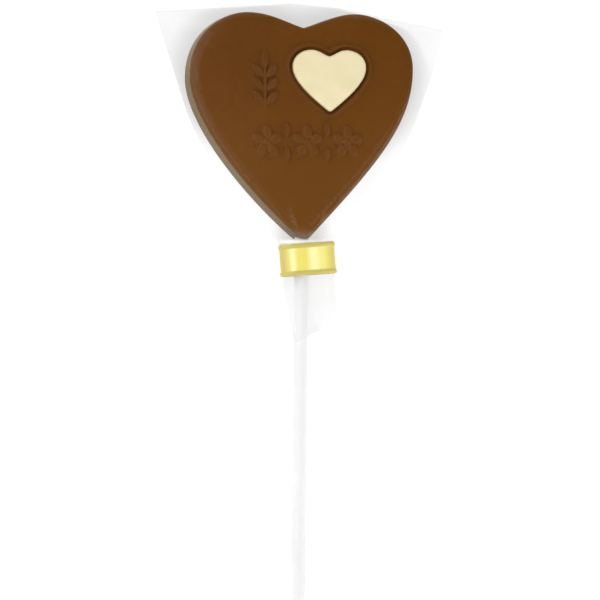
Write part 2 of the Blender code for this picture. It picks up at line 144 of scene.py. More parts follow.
# Half of a heart's outline, from its tip to the top of its lobe, as knots with their two handles, in
# shares of the half-width and of the height. It ends in the notch between the lobes. The white
# heart is even. The big one has a blunt tip, and is fuller low on its left and high on its right.
EVEN_HALF = (
    ((0.0, 0.0), (0.0, 0.0), (0.021, 0.0)),
    ((0.0564, 0.0113), (-0.0152, -0.0072), (0.513, 0.243)),
    ((1.0, 0.718), (0.0, -0.217), (0.0, 0.163)),
    ((0.474, 1.0), (0.298, 0.0), (-0.191, 0.0)),
)
RIGHT_HALF = (
    ((0.008, 0.001), (0.0, 0.0), (0.022, 0.0)),
    ((0.069, 0.016), (-0.015, -0.008), (0.566, 0.300)),
    ((0.995, 0.757), (0.0, -0.250), (0.0, 0.155)),
    ((0.466, 1.0), (0.243, 0.0), (-0.150, 0.0)),
)
LEFT_HALF = (
    ((-0.008, 0.001), (0.0, 0.0), (0.036, 0.0)),
    ((0.094, 0.0215), (-0.027, -0.012), (0.483, 0.217)),
    ((1.004, 0.707), (0.0, -0.177), (0.0, 0.203)),
    ((0.473, 1.0), (0.220, 0.0), (-0.200, 0.0)),
)
NOTCH_HANDLE = (0.148, 0.023)
OUTLINE_STEPS = (6, 44, 42, 28)


def half_outline(half, notch):
    """Half of an outline in shares, from its tip up to the notch."""
    knots = half + ((notch, NOTCH_HANDLE, (0.0, 0.0)),)
    points = []
    for here, after, steps in zip(knots, knots[1:], OUTLINE_STEPS):
        start = Vector(here[0])
        end = Vector(after[0])
        leave = start + Vector(here[2])
        arrive = end + Vector(after[1])
        points += interpolate_bezier(start, leave, arrive, end, steps + 1)[:-1]
    return points + [Vector(notch)]


def heart_outline(width, height, notch, right_half, left_half):
    """A heart's outline from its tip, anticlockwise, as rows of x and y."""
    right = half_outline(right_half, notch)
    left = [Vector((-p.x, p.y)) for p in half_outline(left_half, (-notch[0], notch[1]))]
    return np.array([(p.x * width / 2, p.y * height) for p in right + left[-2:0:-1]])


def offset_outline(outline, outward):
    """The outline moved outward along its own normals."""
    along = np.roll(outline, -1, axis=0) - np.roll(outline, 1, axis=0)
    normals = np.stack([along[:, 1], -along[:, 0]], axis=1)
    normals /= np.linalg.norm(normals, axis=1, keepdims=True)
    return outline + normals * outward


def distance_outside(points, outline):
    """How far each point lies outside the outline, and below zero for a point inside it."""
    run = np.roll(outline, -1, axis=0) - outline
    nearest = np.full(len(points), np.inf)
    crossings = np.zeros(len(points), int)
    for origin, step in zip(outline, run):
        share = np.clip(((points - origin) @ step) / (step @ step), 0.0, 1.0)
        gap = np.linalg.norm(points - origin - share[:, None] * step, axis=1)
        nearest = np.minimum(nearest, gap)
        rises = (origin[1] > points[:, 1]) != (origin[1] + step[1] > points[:, 1])
        if step[1]:
            cross_x = origin[0] + step[0] * (points[:, 1] - origin[1]) / step[1]
            crossings += rises & (points[:, 0] < cross_x)
    return np.where(crossings % 2 == 1, -nearest, nearest)


def even_points(low, high, spacing):
    """Points over a rectangle, in rows that are shifted by half a step against each other."""
    row_rise = spacing * math.sqrt(3) / 2
    rows = np.arange(low[1], high[1], row_rise)
    columns = np.arange(low[0], high[0], spacing)
    x, y = np.meshgrid(columns, rows)
    x += (np.arange(len(rows)) % 2)[:, None] * spacing / 2
    return np.stack([x.ravel(), y.ravel()], axis=1)


def relief_forms():
    """Every raised leaf, petal and stem: its centre, length, width, angle, and whether it is a leaf."""
    upright = math.radians(90)
    forms = []
    first_x = BLOSSOM_ROW_X - BLOSSOM_SPACING * (BLOSSOM_COUNT - 1) / 2
    for number in range(BLOSSOM_COUNT):
        x = first_x + BLOSSOM_SPACING * number
        y = BLOSSOM_ROW_ABOVE_TIP
        for petal in range(PETALS):
            angle = upright + math.tau * petal / PETALS
            centre = (x + PETAL_OUT * math.cos(angle), y + PETAL_OUT * math.sin(angle))
            forms.append((centre, PETAL_LENGTH, PETAL_WIDTH, angle, False))
        forms.append(((x, y), EYE_WIDTH, EYE_WIDTH, 0.0, False))
    for number in range(BLOSSOM_COUNT - 1):
        x = first_x + BLOSSOM_SPACING * (number + 0.5)
        for side in (1, -1):
            centre = (x, BLOSSOM_ROW_ABOVE_TIP + side * ROW_LEAF_RISE)
            forms.append((centre, ROW_LEAF_LENGTH, ROW_LEAF_WIDTH, upright, True))

    foot_y = SPRIG_FOOT_ABOVE_TIP
    stem_length = SPRIG_LENGTH - SPRIG_LEAF_LENGTH / 2
    stem_centre = (SPRIG_X, foot_y + stem_length / 2)
    forms.append((stem_centre, stem_length, SPRIG_STEM_WIDTH, upright, False))
    top_centre = (SPRIG_X, foot_y + SPRIG_LENGTH - SPRIG_LEAF_LENGTH / 2)
    forms.append((top_centre, SPRIG_LEAF_LENGTH, SPRIG_LEAF_WIDTH, upright, True))
    pair_spacing = (stem_length - SPRIG_LEAF_LENGTH / 2) / SPRIG_PAIRS
    for pair in range(SPRIG_PAIRS):
        joint_y = foot_y + pair_spacing * (pair + SPRIG_FIRST_PAIR)
        for side in (1, -1):
            out = SPRIG_LEAF_LENGTH / 2 * math.sin(SPRIG_LEAF_LEAN)
            up = SPRIG_LEAF_LENGTH / 2 * math.cos(SPRIG_LEAF_LEAN)
            angle = upright - side * SPRIG_LEAF_LEAN
            centre = (SPRIG_X + side * out, joint_y + up)
            forms.append((centre, SPRIG_LEAF_LENGTH, SPRIG_LEAF_WIDTH, angle, True))
    return forms


def along_and_across(points, centre, angle):
    """How far each point lies from a form's centre, along that form and across it."""
    offset = points - np.array(centre)
    along = offset[:, 0] * math.cos(angle) + offset[:, 1] * math.sin(angle)
    across = offset[:, 1] * math.cos(angle) - offset[:, 0] * math.sin(angle)
    return along, across


def form_rise(points, form):
    """The height of one raised form over the face, falling below zero outside it."""
    centre, length, width, angle, leaf = form
    along, across = along_and_across(points, centre, angle)
    along = along / (length / 2)
    across = across / (width / 2)
    narrowing = np.sqrt(np.clip(1 - along**2, LEAF_NARROWEST, 1.0)) if leaf else 1.0
    radius = np.sqrt(along**2 + (across / narrowing) ** 2)
    rise = RELIEF_HEIGHT * (1 - np.minimum(radius, RELIEF_FAR) ** RELIEF_STEEPNESS)
    if leaf:
        vein = np.exp(-((across * width / 2 / VEIN_WIDTH) ** 2))
        rise -= VEIN_DEPTH * vein * (radius < 1)
    return rise


def relief_rise(points):
    """All the raised forms run together, with a soft fillet where they meet the face."""
    total = np.ones(len(points))
    for form in relief_forms():
        total += np.exp(form_rise(points, form) / RELIEF_FILLET)
    return RELIEF_FILLET * np.log(total)


def smooth_step(value):
    """The value kept between 0 and 1, and eased at both ends."""
    value = np.clip(value, 0.0, 1.0)
    return value * value * (3 - 2 * value)


def ridge_rise(outside):
    """The ridge round the white heart and the groove inside it, by distance from that heart."""
    down_outer = 1 - smooth_step((outside - RIDGE_OUTER) / (RIDGE_FOOT - RIDGE_OUTER))
    down_inner = smooth_step((outside - RIDGE_INNER) / (RIDGE_CREST - RIDGE_INNER))
    crest = HEART_THICKNESS + RIDGE_HEIGHT
    inner = GROOVE_FLOOR + (crest - GROOVE_FLOOR) * down_inner
    outer = HEART_THICKNESS + RIDGE_HEIGHT * down_outer
    raised = np.where(outside < RIDGE_CREST, inner, outer)
    return np.where(outside < -POCKET_INSET, POCKET_FLOOR, raised)


def cover_outline(rim, inner_points):
    """Triangles over everything inside the rim, with the given points as corners."""
    corners = [Vector(p) for p in np.vstack([rim, inner_points])]
    loop = list(range(len(rim)))
    found = delaunay_2d_cdt(corners, [], [loop], 1, 1e-9)
    return np.array([tuple(p) for p in found[0]]), found[2]


def join_rings(bm, lower, upper):
    """Faces all the way round between two rings of the same number of corners."""
    for i in range(len(lower)):
        j = (i + 1) % len(lower)
        bm.faces.new((lower[i], lower[j], upper[j], upper[i]))


def piece_from(bm, name):
    """A smooth shaded piece in the scene, made of the finished mesh."""
    bmesh.ops.recalc_face_normals(bm, faces=bm.faces)
    mesh = bpy.data.meshes.new(name)
    bm.to_mesh(mesh)
    bm.free()
    mesh.shade_smooth()
    piece = bpy.data.objects.new(name, mesh)
    bpy.context.scene.collection.objects.link(piece)
    return piece


def solid_from_levels(name, outline, levels, sheet, heights):
    """A closed piece: rings of the outline at each level, a flat back, and a sheet over the face.

    The sheet's rim and the last ring are the same points.
    """
    bm = bmesh.new()
    rings = []
    for outward, z in levels:
        ring = offset_outline(outline, outward)
        rings.append([bm.verts.new((x, y, z)) for x, y in ring])
    for lower, upper in zip(rings, rings[1:]):
        join_rings(bm, lower, upper)
    bm.faces.new(rings[0])
    points, triangles = sheet
    corners = [bm.verts.new((x, y, z)) for (x, y), z in zip(points, heights)]
    for triangle in triangles:
        bm.faces.new([corners[i] for i in triangle])
    bmesh.ops.remove_doubles(bm, verts=rings[-1] + corners, dist=1e-6)
    bmesh.ops.transform(bm, matrix=HEART_PLACE, verts=bm.verts)
    return piece_from(bm, name)


big_outline = heart_outline(HEART_WIDTH, HEART_HEIGHT, HEART_NOTCH, RIGHT_HALF, LEFT_HALF)
white_place = np.array((WHITE_X, WHITE_ABOVE_TIP))
white_outline = heart_outline(WHITE_WIDTH, WHITE_HEIGHT, WHITE_NOTCH, EVEN_HALF, EVEN_HALF) + white_place


def heart_levels():
    """The heart's back edge, wall and shoulder, as pairs of outward move and height."""
    wall_top = HEART_THICKNESS - SHOULDER_DEPTH
    eased = BACK_EDGE_ROUND * BACK_EDGE_SHARE
    levels = [(-BACK_EDGE_ROUND, 0.0), (-eased, eased)]
    for step in range(WALL_STEPS + 1):
        share = step / WALL_STEPS
        z = BACK_EDGE_ROUND + (wall_top - BACK_EDGE_ROUND) * share
        levels.append((-WALL_DRAFT * share, z))
    for step in range(1, SHOULDER_STEPS + 1):
        turn = math.radians(90) * step / SHOULDER_STEPS
        inward = WALL_DRAFT + SHOULDER_REACH * (1 - math.cos(turn))
        levels.append((-inward, wall_top + (SHOULDER_DEPTH - FACE_FALL) * math.sin(turn)))
    return levels


def edge_line_points():
    """Points in rings along the faint line inside the edge, without the folded ones at the tip."""
    reach = EDGE_LINE_WIDTH
    rings = []
    for inside in np.arange(EDGE_LINE_INSIDE - reach, EDGE_LINE_INSIDE + reach, EDGE_RING_SPACING):
        ring = offset_outline(big_outline, -inside)
        unfolded = abs(distance_outside(ring, big_outline) + inside) < EDGE_RING_SPACING / 4
        rings.append(ring[unfolded])
    return np.vstack(rings)


def close_to_relief(points):
    """Which of the points lie on a raised form, or within a margin round it."""
    close = np.zeros(len(points), bool)
    for centre, length, width, angle, leaf in relief_forms():
        along, across = along_and_across(points, centre, angle)
        within_length = abs(along) < length / 2 + RELIEF_MARGIN
        close |= within_length & (abs(across) < width / 2 + RELIEF_MARGIN)
    return close


def face_points(rim):
    """Points for the face: close together on the relief, wider apart on the plain parts."""
    low = rim.min(axis=0)
    high = rim.max(axis=0)
    fine = even_points(low, high, FINE_SPACING)
    fine = fine[close_to_relief(fine)]
    plain = even_points(low, high, PLAIN_SPACING)
    plain = plain[distance_outside(plain, rim) < -PLAIN_SPACING / 2]
    plain = plain[~close_to_relief(plain)]
    ridge_rings = np.arange(-RIDGE_RINGS_INSET, RIDGE_FOOT + RELIEF_MARGIN / 2, RIDGE_RING_SPACING)
    ridge = np.vstack([offset_outline(white_outline, outward) for outward in ridge_rings])
    loose = np.vstack([fine, plain])
    outside = distance_outside(loose, white_outline)
    in_ridge = (outside > -RIDGE_CLEAR_INSET) & (outside < ridge_rings[-1] + RIDGE_RING_SPACING)
    return np.vstack([loose[~in_ridge], ridge, edge_line_points()])


heart_rim = offset_outline(big_outline, heart_levels()[-1][0])
face = cover_outline(heart_rim, face_points(heart_rim))
outside_white = distance_outside(face[0], white_outline)
inside_edge = -distance_outside(face[0], big_outline)
fall = FACE_FALL * (1 - smooth_step((inside_edge + heart_levels()[-1][0]) / FACE_FALL_FROM))
face_height = np.where(outside_white < RIDGE_FOOT, ridge_rise(outside_white), HEART_THICKNESS)
face_height += relief_rise(face[0]) * (outside_white > 0) - fall
edge_line = np.exp(-(((inside_edge - EDGE_LINE_INSIDE) / EDGE_LINE_WIDTH * 2) ** 2))
edge_line *= smooth_step((EDGE_LINE_GONE_Y - face[0][:, 1]) / EDGE_LINE_FADE)
edge_line *= smooth_step(face[0][:, 0] / EDGE_LINE_FADE_X)
face_height += EDGE_LINE_RISE * edge_line
chocolate_heart = solid_from_levels("chocolate_heart", big_outline, heart_levels(), face, face_height)


def add_node(tree, kind, settings=None, **inputs):
    """A shader node with its settings, and its inputs set to values or linked to other sockets."""
    node = tree.nodes.new(kind)
    for key, value in (settings or {}).items():
        setattr(node, key, value)
    for key, value in inputs.items():
        socket = node.inputs[key.replace("_", " ")]
        if isinstance(value, bpy.types.NodeSocket):
            tree.links.new(value, socket)
        else:
            socket.default_value = value
    return node


def new_finish(name):
    """An empty material with its output, its node tree and the object's own coordinates."""
    finish = bpy.data.materials.new(name)
    finish.use_nodes = True
    tree = finish.node_tree
    tree.nodes.clear()
    output = tree.nodes.new("ShaderNodeOutputMaterial")
    place = tree.nodes.new("ShaderNodeTexCoord").outputs["Object"]
    return finish, tree, output, place


def blotches(tree, place, scale, detail=3.0, roughness=0.5):
    """Soft uneven patches, as a value round one half."""
    node = add_node(tree, "ShaderNodeTexNoise", Vector=place, Scale=scale, Detail=detail)
    node.inputs["Roughness"].default_value = roughness
    return node.outputs["Fac"]


# A pair of values says where a change begins and where it ends, or what it begins and ends with.
RISING = (0.0, 1.0)
FALLING = (1.0, 0.0)
SOFT_CONTRAST = (0.3, 0.7)
STRONG_CONTRAST = (0.35, 0.65)


def spread(tree, value, between, to):
    """The value's range between one pair of values, carried over to another pair with soft ends."""
    node = add_node(tree, "ShaderNodeMapRange", {"interpolation_type": "SMOOTHSTEP"}, Value=value)
    node.inputs["From Min"].default_value = between[0]
    node.inputs["From Max"].default_value = between[1]
    node.inputs["To Min"].default_value = to[0]
    node.inputs["To Max"].default_value = to[1]
    return node.outputs["Result"]


def blend_colours(tree, share, first, second):
    """The first colour where the share is 0 and the second where it is 1."""
    node = add_node(tree, "ShaderNodeMix", {"data_type": "RGBA"})
    tree.links.new(share, node.inputs["Factor"])
    for key, colour in (("A", first), ("B", second)):
        socket = [s for s in node.inputs if s.name == key and s.type == "RGBA"][0]
        if isinstance(colour, bpy.types.NodeSocket):
            tree.links.new(colour, socket)
        else:
            socket.default_value = (*colour, 1.0)
    return [s for s in node.outputs if s.type == "RGBA"][0]


def join_values(tree, operation, first, second):
    """A value joined with a second value, or with a number, by an operation such as a product."""
    node = add_node(tree, "ShaderNodeMath", {"operation": operation})
    tree.links.new(first, node.inputs[0])
    if isinstance(second, bpy.types.NodeSocket):
        tree.links.new(second, node.inputs[1])
    else:
        node.inputs[1].default_value = second
    return node.outputs[0]


def distance_from(tree, place, middle):
    """How far the surface lies from a fixed place."""
    node = add_node(tree, "ShaderNodeVectorMath", {"operation": "DISTANCE"})
    tree.links.new(place, node.inputs[0])
    node.inputs[1].default_value = middle
    return node.outputs["Value"]


def add_bump(tree, height, depth, strength, normal=None):
    """A shading normal for fine relief of that depth, over an earlier one if there is one."""
    node = add_node(tree, "ShaderNodeBump", Height=height, Distance=depth, Strength=strength)
    if normal:
        tree.links.new(normal, node.inputs["Normal"])
    return node.outputs["Normal"]


def surface_shader(tree, output, colour, gloss, normal):
    """The shader of a solid surface, joined to the material's output."""
    shader = add_node(tree, "ShaderNodeBsdfPrincipled", Base_Color=colour, Roughness=gloss, Normal=normal)
    tree.links.new(shader.outputs["BSDF"], output.inputs["Surface"])
    return shader


def milk_chocolate_finish():
    """Satin brown, a little uneven, with a cast surface's faint waves, painted lighter towards the tip, and
    painted with shade and olive reflection down the wall.
    """
    finish, tree, output, place = new_finish("milk chocolate")
    warm = spread(tree, blotches(tree, place, scale=55.0), STRONG_CONTRAST, RISING)
    colour = blend_colours(tree, warm, CHOCOLATE_DEEP, CHOCOLATE_WARM)
    specks = spread(tree, blotches(tree, place, scale=420.0, detail=4.0), SOFT_CONTRAST, (0.0, SPECK_SHARE))
    colour = blend_colours(tree, specks, colour, CHOCOLATE_SPECK)
    parts = add_node(tree, "ShaderNodeSeparateXYZ", Vector=place).outputs
    # Painted light: a lighter colour towards the tip, where more light falls.
    painted_light_towards_tip = spread(tree, parts["Y"], TIP_PAINTED_LIGHT_Y, (TIP_PAINTED_LIGHT_SHARE, 0.0))
    colour = blend_colours(tree, painted_light_towards_tip, colour, CHOCOLATE_TIP_PAINTED_LIGHT)
    # Painted shade and olive reflection down the wall, kept clear of the white heart's ridge and groove.
    wall_shade_down = spread(tree, parts["Z"], WALL_SHADE_Z, FALLING)
    white_middle = HEART_PLACE @ Vector((WHITE_X, WHITE_ABOVE_TIP + WHITE_HEIGHT / 2, HEART_THICKNESS))
    clear_of_white = spread(tree, distance_from(tree, place, white_middle), WALL_SHADE_CLEAR_OF_WHITE, RISING)
    painted_wall_shade = join_values(tree, "MULTIPLY", wall_shade_down, clear_of_white)
    colour = blend_colours(tree, painted_wall_shade, colour, CHOCOLATE_WALL_SHADE_AND_REFLECTION)
    waves = add_bump(tree, blotches(tree, place, scale=140.0, detail=2.0), CHOCOLATE_WAVE_DEPTH, 0.6)
    pores = add_bump(tree, blotches(tree, place, scale=1500.0), CHOCOLATE_PORE_DEPTH, 0.5, waves)
    gloss = spread(tree, blotches(tree, place, scale=90.0), SOFT_CONTRAST, CHOCOLATE_ROUGHNESS)
    shader = surface_shader(tree, output, colour, gloss, pores)
    shader.inputs["Specular IOR Level"].default_value = CHOCOLATE_SPECULAR
    shader.inputs["Sheen Weight"].default_value = CHOCOLATE_SHEEN
    shader.inputs["Sheen Roughness"].default_value = CHOCOLATE_SHEEN_ROUGHNESS
    shader.inputs["Sheen Tint"].default_value = CHOCOLATE_SHEEN_TINT
    return finish


chocolate_heart.data.materials.append(milk_chocolate_finish())
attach(chocolate_heart, "root")
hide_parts("milk_chocolate_heart")


# The white chocolate heart. It is a small casting of its own, set into the milk chocolate while
# that is soft, so that it stands a little proud of the ridge and has softly rounded edges.
WHITE_BOTTOM = 0.0080
WHITE_TOP = 0.0097
WHITE_ROUND = 0.0010
WHITE_CROWN = 0.00025
WHITE_CROWN_WIDTH = 0.0045
WHITE_STEPS = 9
WHITE_POINT_SPACING = 0.0005

WHITE_DEEP = (0.800, 0.698, 0.430)
WHITE_PALE = (0.838, 0.742, 0.482)
WHITE_GRAIN_DEPTH = 0.00003
WHITE_WAVE_DEPTH = 0.00010
WHITE_ROUGHNESS = (0.42, 0.55)
WHITE_GLOW = 0.15
WHITE_GLOW_REACH = (0.0012, 0.0009, 0.0005)


def white_levels():
    """The white heart's wall and its rounded edge, as pairs of outward move and height."""
    levels = [(0.0, WHITE_BOTTOM), (0.0, WHITE_TOP - WHITE_ROUND)]
    for step in range(1, WHITE_STEPS + 1):
        turn = math.radians(90) * step / WHITE_STEPS
        inward = WHITE_ROUND * (1 - math.cos(turn))
        levels.append((-inward, WHITE_TOP - WHITE_ROUND * (1 - math.sin(turn))))
    return levels


white_rim = offset_outline(white_outline, white_levels()[-1][0])
white_points = even_points(white_rim.min(axis=0), white_rim.max(axis=0), WHITE_POINT_SPACING)
white_points = white_points[distance_outside(white_points, white_rim) < -WHITE_POINT_SPACING / 2]
white_sheet = cover_outline(white_rim, white_points)
white_depth = -distance_outside(white_sheet[0], white_rim)
white_crown = WHITE_CROWN * smooth_step(0.5 + white_depth / WHITE_CROWN_WIDTH / 2) - WHITE_CROWN / 2
white_heights = WHITE_TOP + white_crown
white_heart = solid_from_levels("white_heart", white_outline, white_levels(), white_sheet, white_heights)


def white_chocolate_finish():
    """Creamy and nearly matt, with faint warmer clouds and a very fine grain."""
    finish, tree, output, place = new_finish("white chocolate")
    clouds = spread(tree, blotches(tree, place, scale=160.0, detail=4.0), STRONG_CONTRAST, RISING)
    colour = blend_colours(tree, clouds, WHITE_DEEP, WHITE_PALE)
    grain = add_bump(tree, blotches(tree, place, scale=900.0, detail=4.0), WHITE_GRAIN_DEPTH, 0.6)
    waves = add_bump(tree, blotches(tree, place, scale=230.0, detail=2.0), WHITE_WAVE_DEPTH, 0.5, grain)
    gloss = spread(tree, blotches(tree, place, scale=120.0), SOFT_CONTRAST, WHITE_ROUGHNESS)
    shader = surface_shader(tree, output, colour, gloss, waves)
    shader.inputs["Subsurface Weight"].default_value = WHITE_GLOW
    shader.inputs["Subsurface Radius"].default_value = WHITE_GLOW_REACH
    shader.inputs["Subsurface Scale"].default_value = 1.0
    return finish


white_heart.data.materials.append(white_chocolate_finish())
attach(white_heart, "root")
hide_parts("white_chocolate_heart")


# The stick. It is a plain white extruded stick with softly rounded ends, pushed up into the heart
# from its tip. Its shape stays, and it gets the fine lengthwise draw lines of an extruded stick.
STICK_DIM = (0.66, 0.66, 0.66)
STICK_BRIGHT = (0.68, 0.68, 0.68)
DRAW_LINE_STRETCH = (1.0, 0.02, 1.0)
DRAW_LINE_DEPTH = 0.00002
STICK_ROUGHNESS = (0.38, 0.50)
STICK_GLOW_REACH = (0.0060, 0.0060, 0.0060)


def stick_finish():
    """Even white with an inner glow, and fine draw lines along its length."""
    finish, tree, output, place = new_finish("stick white")
    stretched = add_node(tree, "ShaderNodeMapping", Vector=place, Scale=DRAW_LINE_STRETCH).outputs["Vector"]
    lines = blotches(tree, stretched, scale=2600.0)
    tone = spread(tree, blotches(tree, place, scale=60.0), SOFT_CONTRAST, RISING)
    colour = blend_colours(tree, tone, STICK_DIM, STICK_BRIGHT)
    drawn = add_bump(tree, lines, DRAW_LINE_DEPTH, 0.5)
    gloss = spread(tree, lines, SOFT_CONTRAST, STICK_ROUGHNESS)
    shader = surface_shader(tree, output, colour, gloss, drawn)
    shader.inputs["Subsurface Weight"].default_value = 1.0
    shader.inputs["Subsurface Radius"].default_value = STICK_GLOW_REACH
    shader.inputs["Subsurface Scale"].default_value = 1.0
    return finish


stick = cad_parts["stick"]
stick.data.materials.clear()
stick.data.materials.append(stick_finish())


# The film bag. It is two sheets of thin clear film joined at their side edges and along the top,
# drawn over the heart and gathered into pleats at the neck, with a loose tail that is cut at a
# slant. Each row of points runs across the front sheet and back across the rear one.
BAND_PLACE = Vector((0.0020, 0.0138, 0.0039))
BAND_TURN = math.radians(4.45)
BAND_HEIGHT = 0.0103
NECK_HALF_WIDTH = 0.0084
NECK_HALF_DEPTH = 0.00275
NECK_OUTSIDE_BAND = 0.0004
NECK_SQUARENESS = 3.0
BAG_COLUMNS = 150
BAG_ROWS = 120
ROW_CROWDING = 1.25
OUTLINE_BELOW_NECK = 0.002
BAG_TOP_FROM = 0.088
EDGE_INSET = 0.0002
TAIL_ROWS = 34
NECK_ROWS = 10
TAIL_SHIFT = 0.0004
TAIL_LEFT_X = -0.0024
TAIL_RIGHT_X = 0.0122
TAIL_MOUTH_Y = -0.0098
TAIL_MOUTH_SLOPE = 0.50
TAIL_HALF_DEPTH = 0.0006
TAIL_LOWEST_Z = 0.0002
NECK_WAVE = 0.0001
TAIL_FRONT_WAVE = 0.0009
TAIL_REAR_WAVE = 0.0006
STICK_LIFT_REACH = 0.0042
STICK_LEAN = math.radians(0.6)
BAG_HALF_WIDTH = 0.0475
BAG_HEIGHT = 0.0107
SEAM_Z = 0.0015
FOOD_GAP = 0.00006
SMOOTHING_TURNS = 10
OPEN_ROOM = 0.004
PLEATS = 11
PLEAT_REACH = 0.011
PLEAT_START = 0.004
PLEAT_DEPTH = 0.0004
PLEAT_DRIFTS = ((0.035, 7.3, 1.0), (0.02, 17.0, 2.1))
PLEAT_SWELL = (0.35, 5.1, 3.0)
REAR_PLEAT_SHARE = 0.6
REAR_FLAT_Z = 0.0004
FRONT_SEED = 0.4
REAR_SEED = 2.2
TAIL_REAR_SEED = 1.1
RIPPLE_CORNERS = (((-0.0475, 0.0930), 0.7), ((0.0475, 0.0893), 2.9))
RIPPLE_RAYS = 23
RIPPLE_BREAKS = 9
RIPPLE_FINE_RAYS = 41
RIPPLE_START = 0.006
RIPPLE_REACH = 0.022
RIPPLE_DEPTH = 0.00012

CRINKLE_DEPTH = 0.0006
MIRROR_TINT = (0.97, 0.98, 1.0, 1.0)
MIRROR_ROUGHNESS = 0.24
MIRROR_STEEPNESS = 5.0
MIRROR_AT_EDGE = 0.30
MIRROR_LEAST = 0.012

# What the film lets through, and where. It lets less through near the bag's top and on its rear
# sheet behind the stick. Painted shade darkens the rear sheet round the lobes and the tip, for the
# heart's soft shadow and dark reflection there, and darkens a crease at the tail's corner.
FILM_CLEAR = (0.996, 0.996, 0.996)
FILM_DENSE = (0.957, 0.957, 0.959)
DENSE_TOP_Y = (0.048, 0.076)
FILM_TAIL_REAR = (0.925, 0.925, 0.925)
TAIL_Y = (0.011, 0.014)
TAIL_REAR_Z = (0.0034, 0.0040)
FILM_SHADED = (0.77, 0.76, 0.755)
REAR_Z = (0.0012, 0.0018)
SHADED_ROUND = (
    ((-0.0153, 0.0736, 0.0), 0.0211, 0.0093),
    ((0.0159, 0.0739, 0.0), 0.0205, 0.0105),
    ((0.0010, 0.0220, 0.0), 0.0040, 0.0070),
)
# Painted shade: the film is darker in the crease at the tail's corner.
FILM_CREASE_PAINTED_SHADE = (0.92, 0.92, 0.92)
CREASED_CORNER = (0.0040, -0.0100, 0.004)
CREASE_REACH = (0.0012, 0.0040)
CREASE_SHADE_SHARE = 0.7

HAZE_WHITE = (0.93, 0.925, 0.91, 1.0)
HAZE_ROUGHNESS = 0.5
TAIL_HAZE = 0.06
TAIL_HAZE_Y = (-0.0020, 0.0060)
NECK_HAZE = 0.80
NECK_HAZE_Y = (0.0120, 0.0140)
NECK_CLEAR_Y = (0.0192, 0.0203)
TIP_HAZE = 0.045
TIP_CLEAR_Y = (0.0210, 0.0240)


def surface_of(piece):
    """The piece's surface, for finding where a line meets it."""
    corners = [v.co for v in piece.data.vertices]
    return BVHTree.FromPolygons(corners, [p.vertices for p in piece.data.polygons])


bag_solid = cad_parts["film_bag"]
bag_surface = surface_of(bag_solid)
neck_top_y = BAND_PLACE.y + BAND_HEIGHT / 2 + NECK_OUTSIDE_BAND
above_neck = [v.co.xy for v in bag_solid.data.vertices if v.co.y > neck_top_y - OUTLINE_BELOW_NECK]
bag_outline = np.array([above_neck[i] for i in convex_hull_2d(above_neck)])


def side_x(y, side):
    """Where the bag's left (-1) or right (1) side is at the given heights along Y."""
    chain = bag_outline[bag_outline[:, 0] * side > 0]
    chain = chain[np.argsort(chain[:, 1])]
    chain = chain[: np.argmax(chain[:, 0] * side) + 1]
    return np.interp(y, chain[:, 1], chain[:, 0])


def top_edge_y(x):
    """Where the bag's top edge is at the given places along X."""
    chain = bag_outline[bag_outline[:, 1] > BAG_TOP_FROM]
    chain = chain[np.argsort(chain[:, 0])]
    return np.interp(x, chain[:, 0], chain[:, 1])


def solid_height(x, y, from_above):
    """The height of the taut bag's outer face at a place, seen from above or from below."""
    start = Vector((x, y, 1.0 if from_above else -1.0))
    hit = bag_surface.ray_cast(start, Vector((0.0, 0.0, -1.0 if from_above else 1.0)))[0]
    return hit.z if hit else None


def column_shares():
    """How far across each column lies, closer together towards the side edges."""
    even = np.linspace(0.0, 1.0, BAG_COLUMNS + 1)
    eased = (1 - np.cos(np.pi * even)) / 2
    return (even + eased) / 2


def pleat_wave(share, seed):
    """An uneven wave across the sheet, from -1 to 1, for the gathered pleats."""
    bent = share
    for drift, turns, shift in PLEAT_DRIFTS:
        bent += drift * math.sin(turns * share + shift * seed)
    wave = math.sin(math.tau * PLEATS * bent / 2 + seed)
    swell, turns, shift = PLEAT_SWELL
    return wave * (1 - swell + swell * math.sin(turns * share + shift * seed))


def body_grid():
    """The places of the bag's points, from just above the band up to its top edge."""
    shares = column_shares()
    top_x = -BAG_HALF_WIDTH + 2 * BAG_HALF_WIDTH * shares
    top_y = top_edge_y(top_x)
    neck_x = BAND_PLACE.x + NECK_HALF_WIDTH * (2 * shares - 1)
    neck_y = neck_top_y + math.tan(BAND_TURN) * (neck_x - BAND_PLACE.x)
    up = (np.linspace(0.0, 1.0, BAG_ROWS + 1) ** ROW_CROWDING)[:, None]
    y = neck_y + (top_y - neck_y) * up
    left = np.maximum(side_x(y, -1), -BAG_HALF_WIDTH)
    right = np.minimum(side_x(y, 1), BAG_HALF_WIDTH)
    return left + (right - left) * shares, y, y - neck_y


def taut_heights(x, y):
    """The heights of the taut bag's two faces over the grid, which meet at its outer edges."""
    above = np.empty(x.shape)
    below = np.empty(x.shape)
    for row in range(x.shape[0]):
        for column in range(x.shape[1]):
            inward = 1 - 2 * column / BAG_COLUMNS
            probe_x = x[row, column] + EDGE_INSET * inward
            probe_y = y[row, column] - EDGE_INSET * (row == BAG_ROWS)
            high = solid_height(probe_x, probe_y, True)
            low = solid_height(probe_x, probe_y, False)
            if high is None or low is None:
                high = low = SEAM_Z
            above[row, column] = high
            below[row, column] = low
    for edge in (np.s_[:, 0], np.s_[:, -1], np.s_[-1, :]):
        middle = (above[edge] + below[edge]) / 2
        above[edge] = middle
        below[edge] = middle
    return above, below


def smoothed(heights):
    """The heights with their sharp creases eased, and their outer rows and columns as they were."""
    for _ in range(SMOOTHING_TURNS):
        sides = heights[1:-1, :-2] + heights[1:-1, 2:] + heights[:-2, 1:-1] + heights[2:, 1:-1]
        heights = heights.copy()
        heights[1:-1, 1:-1] = (heights[1:-1, 1:-1] + sides / 4) / 2
    return heights


